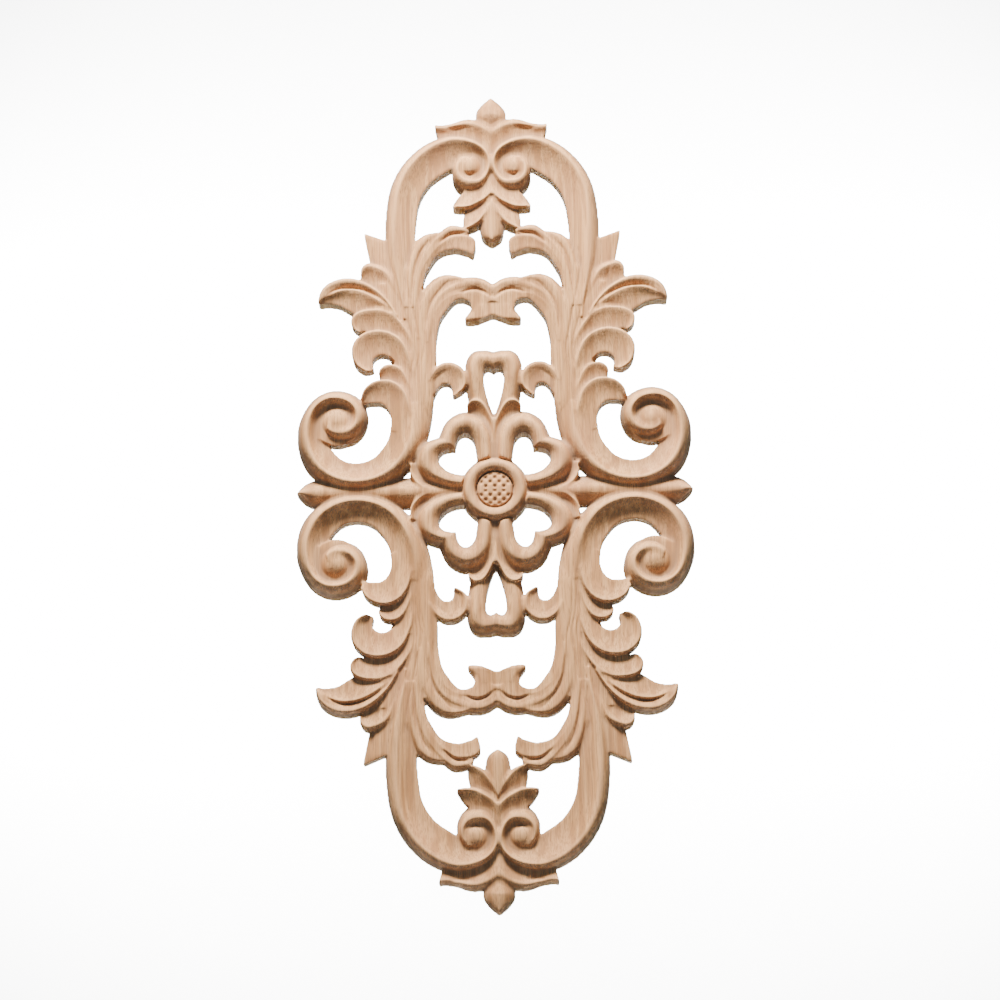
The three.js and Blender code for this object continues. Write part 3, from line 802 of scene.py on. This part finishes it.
def noise(tree, vector, stretch, **links):
    """The value of a noise whose features are one unit wide, after the place is stretched."""
    mapping = add(tree, "ShaderNodeMapping", {"Vector": vector, "Scale": stretch})
    links = {"Vector": mapping.outputs[0], "Scale": 1.0, **links}
    return add(tree, "ShaderNodeTexNoise", links).outputs["Fac"]


def ramp(tree, value, stops):
    """A colour ramp through (place, colour) stops."""
    node = add(tree, "ShaderNodeValToRGB", {"Fac": value})
    elements = node.color_ramp.elements
    while len(elements) < len(stops):
        elements.new(0.5)
    for element, (place, colour) in zip(elements, stops):
        element.position, element.color = place, (*colour, 1)
    return node.outputs["Color"]


# %% Grain: bands and fibres that run along Z
grain, g_in, g_out = new_group("wood_grain", ["Band", "Fibre", "Blotch"])
straight = g_in.outputs["Place"]
drift = add(grain, "ShaderNodeTexNoise", {"Vector": straight, "Scale": 6.0, "Detail": 2.0})
aside = {0: drift.outputs["Color"], 1: (0.012, 0.012, 0.0)}
bent = add(grain, "ShaderNodeVectorMath", aside, operation="MULTIPLY")
moved = add(grain, "ShaderNodeVectorMath", {0: straight, 1: bent.outputs[0]}, operation="ADD").outputs[0]
values = {
    "Band": noise(grain, moved, (190, 190, 7), Detail=3.0, Roughness=0.55),
    "Fibre": noise(grain, moved, (1900, 1900, 45), Detail=3.0, Roughness=0.6),
    "Blotch": noise(grain, straight, (38, 38, 17), Detail=2.0),
}
for label, value in values.items():
    grain.links.new(value, g_out.inputs[label])
print("grain group nodes:", len(grain.nodes))

# %% Pores: short dark dashes along the grain, in patches
pores, p_in, p_out = new_group("wood_pores", ["Pore"])
dash_map = add(pores, "ShaderNodeMapping", {"Vector": p_in.outputs["Place"], "Scale": (1500, 1500, 150)})
dash = add(pores, "ShaderNodeTexVoronoi", {"Vector": dash_map.outputs[0], "Scale": 1.0, "Randomness": 1.0})
near = {"Value": dash.outputs["Distance"], "From Min": 0.14, "From Max": 0.3, "To Min": 1.0, "To Max": 0.0}
dot = add(pores, "ShaderNodeMapRange", near)
patch = noise(pores, p_in.outputs["Place"], (420, 420, 60), Detail=1.0)
here = add(pores, "ShaderNodeMapRange", {"Value": patch, "From Min": 0.5, "From Max": 0.66})
both = {0: dot.outputs["Result"], 1: here.outputs["Result"]}
pore = add(pores, "ShaderNodeMath", both, operation="MULTIPLY")
pores.links.new(pore.outputs[0], p_out.inputs["Pore"])
print("pore group nodes:", len(pores.nodes))

# %% [markdown]
# ## Shade and scuffs
# The hollows are darkened with painted shade. The crests are paler, partly as wear from hands and
# sandpaper and partly as a painted highlight kept off the faces that look down. Where the wood faces
# down the carver's blade chattered across the grain and left it rough, and its darker brown there is
# partly painted shade. These masks were measured on the heights and ride on the points of the mesh,
# so they follow the carving exactly. A fourth mask marks the walls, which keep the fine lines of the
# saw and a darker colour that is partly painted shade.

# %% The wood's colours
BAND_STOPS = [
    (0.38, (0.45, 0.230, 0.102)),
    (0.46, (0.61, 0.333, 0.153)),
    (0.54, (0.71, 0.410, 0.197)),
    (0.62, (0.55, 0.290, 0.132)),
]
DARK_FIBRE = (0.34, 0.185, 0.095)
ROSY_PATCH = (0.60, 0.295, 0.165)
# Crest colour: wear from sanding and a painted highlight.
CREST_WEAR_AND_HIGHLIGHT = (0.82, 0.515, 0.275)
DARK_PORE = (0.20, 0.095, 0.045)
# Painted shade for the hollows.
PAINTED_SHADE_IN_HOLLOWS = (0.26, 0.180, 0.128)
# Rough brown under the forms, partly painted shade.
ROUGH_BROWN_AND_SHADE = (0.24, 0.160, 0.122)
# Sawn walls: saw lines, darkened partly as painted shade.
SAWN_DARK_AND_SHADE = (0.22, 0.125, 0.038)
SAWN_PALE_AND_SHADE = (0.38, 0.235, 0.085)
print("colours of the bands:", len(BAND_STOPS))

# %% The wood material
wood_finish = bpy.data.materials.new("carved_wood")
wood_finish.use_nodes = True
tree = wood_finish.node_tree
shader = tree.nodes["Principled BSDF"]
place = add(tree, "ShaderNodeTexCoord").outputs["Object"]
masks = {
    name: add(tree, "ShaderNodeAttribute", attribute_name=name).outputs["Fac"]
    for name in ("hollow", "chatter_and_shade", "crest", "sawn")
}
grain_node = add(tree, "ShaderNodeGroup", node_tree=grain)
pore_node = add(tree, "ShaderNodeGroup", node_tree=pores)
for node in (grain_node, pore_node):
    tree.links.new(place, node.inputs["Place"])
fibre = grain_node.outputs["Fibre"]
print("masks on the mesh:", list(masks))

# %% Colour, from the bands of the grain to the sawn walls


def mixed(factor, first, second):
    """Two colours mixed by a factor. A colour is a socket or red, green and blue."""
    node = add(tree, "ShaderNodeMix", data_type="RGBA")
    tree.links.new(factor, node.inputs["Factor"])
    for socket, value in ((node.inputs[6], first), (node.inputs[7], second)):
        if isinstance(value, bpy.types.NodeSocket):
            tree.links.new(value, socket)
        else:
            socket.default_value = (*value, 1)
    return node.outputs[2]


def scaled(value, low, high, to_low=0.0, to_high=1.0):
    """A value taken from one range to another and held inside it."""
    links = {"Value": value, "From Min": low, "From Max": high, "To Min": to_low, "To Max": to_high}
    return add(tree, "ShaderNodeMapRange", links).outputs["Result"]


def times(first, second):
    """Two values multiplied."""
    return add(tree, "ShaderNodeMath", {0: first, 1: second}, operation="MULTIPLY").outputs[0]


speckle = scaled(noise(tree, place, (1300, 1300, 700), Detail=2.0), 0.35, 0.65, 0.15, 1.0)
colour = ramp(tree, grain_node.outputs["Band"], BAND_STOPS)
# what is seen, where it starts and where it is full, its strongest share, and its colour
coats = [
    (fibre, 0.47, 0.62, 0.7, DARK_FIBRE),
    (grain_node.outputs["Blotch"], 0.5, 0.75, 0.45, ROSY_PATCH),
    # Paler crests: sanding wear, and a painted highlight kept off the faces that look down.
    (masks["crest"], 0.0, 1.0, 0.45, CREST_WEAR_AND_HIGHLIGHT),
    (pore_node.outputs["Pore"], 0.0, 1.0, 0.55, DARK_PORE),
    # Painted shade in the hollows.
    (masks["hollow"], 0.15, 0.85, 0.7, PAINTED_SHADE_IN_HOLLOWS),
    # Rough brown under the forms, partly painted shade.
    (times(masks["chatter_and_shade"], speckle), 0.0, 1.0, 0.7, ROUGH_BROWN_AND_SHADE),
]
for seen, start, full_at, strongest, tint in coats:
    colour = mixed(scaled(seen, start, full_at, 0.0, strongest), colour, tint)
# The sawn walls: fine saw lines, and a darker colour that is partly painted shade.
saw_lines = noise(tree, place, (1500, 40, 1500), Detail=1.0)
walls_colour_and_shade = mixed(scaled(saw_lines, 0.3, 0.7), SAWN_DARK_AND_SHADE, SAWN_PALE_AND_SHADE)
tree.links.new(mixed(masks["sawn"], colour, walls_colour_and_shade), shader.inputs["Base Color"])
tree.links.new(scaled(fibre, 0.3, 0.7, 0.62, 0.78), shader.inputs["Roughness"])
shader.inputs["IOR"].default_value = 1.45
shader.inputs["Specular IOR Level"].default_value = 0.2
print("wood material nodes:", len(tree.nodes))

# %% Fine bumps: fibres, pores, and ripples across the scuffed places
FIBRE_BUMP = 0.35
RIPPLE_BUMP = 3.0
PORE_BUMP = -0.5


def plus(value, factor, rest):
    """A value times a factor, added to the rest."""
    links = {0: value, 1: factor, 2: rest}
    return add(tree, "ShaderNodeMath", links, operation="MULTIPLY_ADD").outputs[0]


ripples = times(noise(tree, place, (260, 260, 1100), Detail=2.0), masks["chatter_and_shade"])
bumps = plus(ripples, RIPPLE_BUMP, times(fibre, FIBRE_BUMP))
bumps = plus(pore_node.outputs["Pore"], PORE_BUMP, bumps)
bump = add(tree, "ShaderNodeBump", {"Height": bumps, "Strength": 0.55, "Distance": 0.22 * MM})
tree.links.new(bump.outputs["Normal"], shader.inputs["Normal"])
onlay.data.materials.append(wood_finish)
print("bump distance in mm:", round(bump.inputs["Distance"].default_value / MM, 3))

# %% [markdown]
# ## The camera
# The photograph looks a little upwards at a board that leans back by 14 degrees. Seen from the board,
# the camera stands low in front of it. Its place follows from the lean, the distance and the small
# turns, so the picture has the same lines as the photograph.

# %% Camera
LEAN, YAW, ROLL = np.radians([14.0, -0.54, -0.77])
SHIFT = np.array([-2.36, 1240.0, 2.68])
SENSOR = 36
LENS = 2.588 * SENSOR


def turns(lean, yaw, roll):
    """The lean about X, then the yaw about Z, then the roll about Y, as one matrix."""
    tilt = np.array([[1, 0, 0], [0, np.cos(lean), np.sin(lean)], [0, -np.sin(lean), np.cos(lean)]])
    swing = np.array([[np.cos(yaw), -np.sin(yaw), 0], [np.sin(yaw), np.cos(yaw), 0], [0, 0, 1]])
    bank = np.array([[np.cos(roll), 0, np.sin(roll)], [0, 1, 0], [-np.sin(roll), 0, np.cos(roll)]])
    return swing @ tilt @ bank


to_camera = turns(LEAN, YAW, ROLL)
camera_data = bpy.data.cameras.new("camera")
camera_data.sensor_width = SENSOR
camera_data.lens = LENS
camera = bpy.data.objects.new("camera", camera_data)
axes = np.stack([to_camera[0], to_camera[2], -to_camera[1]], 1)
camera.matrix_world = Matrix.Translation(Vector(to_camera.T @ -SHIFT * MM)) @ Matrix(axes.tolist()).to_4x4()
bpy.context.scene.collection.objects.link(camera)
bpy.context.scene.camera = camera
print("camera stands at, m:", [round(v, 3) for v in camera.location])

# %% [markdown]
# ## Backdrop and light
# The board floats before a white sweep, as in a catalogue. One warm lamp stands high and near in
# front, so the top is lighter than the foot and every form throws its shade down. Two lamps behind the
# board light the sweep, and a weak cool light from the room keeps the undersides readable.

# %% Sweep: floor and back in one curved sheet
FLOOR = -1.3
FRONT = -0.4
BACK = 2.5
BEND = 0.6
TOP = 2.6
HALF_WIDTH = 3.0
arc = np.linspace(0, np.pi / 2, 24)
profile_y = np.concatenate([[FRONT], BACK - BEND + BEND * np.sin(arc), [BACK]])
profile_z = np.concatenate([[FLOOR], FLOOR + BEND - BEND * np.cos(arc), [TOP]])
side = np.array([-HALF_WIDTH, HALF_WIDTH])
sheet = np.stack([np.repeat(side, len(profile_y)), np.tile(profile_y, 2), np.tile(profile_z, 2)], 1) / MM
first = np.arange(len(profile_y) - 1)
sweep_faces = np.stack([first, first + len(profile_y), first + len(profile_y) + 1, first + 1], 1)
sweep = bpy.data.objects.new("sweep", new_mesh("sweep", sheet, sweep_faces))
sweep.data.polygons.foreach_set("use_smooth", np.ones(len(sweep_faces), bool))
paper = bpy.data.materials.new("white_paper")
paper.use_nodes = True
paper_shader = paper.node_tree.nodes["Principled BSDF"]
paper_shader.inputs["Base Color"].default_value = (0.93, 0.93, 0.925, 1)
paper_shader.inputs["Roughness"].default_value = 0.9
sweep.data.materials.append(paper)
bpy.context.scene.collection.objects.link(sweep)
print("sweep faces:", len(sweep_faces))

# %% Lamps


def lamp(name, place, aim, size, power):
    """A square soft lamp at a place in metres, turned towards a point."""
    data = bpy.data.lights.new(name, "AREA")
    data.size, data.energy = size, power
    item = bpy.data.objects.new(name, data)
    item.location = place
    item.rotation_euler = (Vector(aim) - Vector(place)).to_track_quat("-Z", "Y").to_euler()
    bpy.context.scene.collection.objects.link(item)
    return item


high = lamp("high", (-0.11, -0.42, 0.86), (0, 0, 0), 0.2, 47)
high.data.color = (1.0, 0.88, 0.74)
for side_name, x_place in (("left", -1.3), ("right", 1.3)):
    backdrop_lamp = lamp("backdrop_" + side_name, (x_place, 1.4, 0.65), (0, BACK, 0.65), 0.6, 150)
    backdrop_lamp.data.spread = np.radians(100)
world = bpy.data.worlds.new("room")
world.use_nodes = True
room = world.node_tree.nodes["Background"]
room.inputs["Color"].default_value = (0.78, 0.91, 1.0, 1)
room.inputs["Strength"].default_value = 0.23
bpy.context.scene.world = world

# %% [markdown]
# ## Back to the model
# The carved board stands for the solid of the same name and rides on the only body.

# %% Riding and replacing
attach(onlay, "root")
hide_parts("carved_onlay")
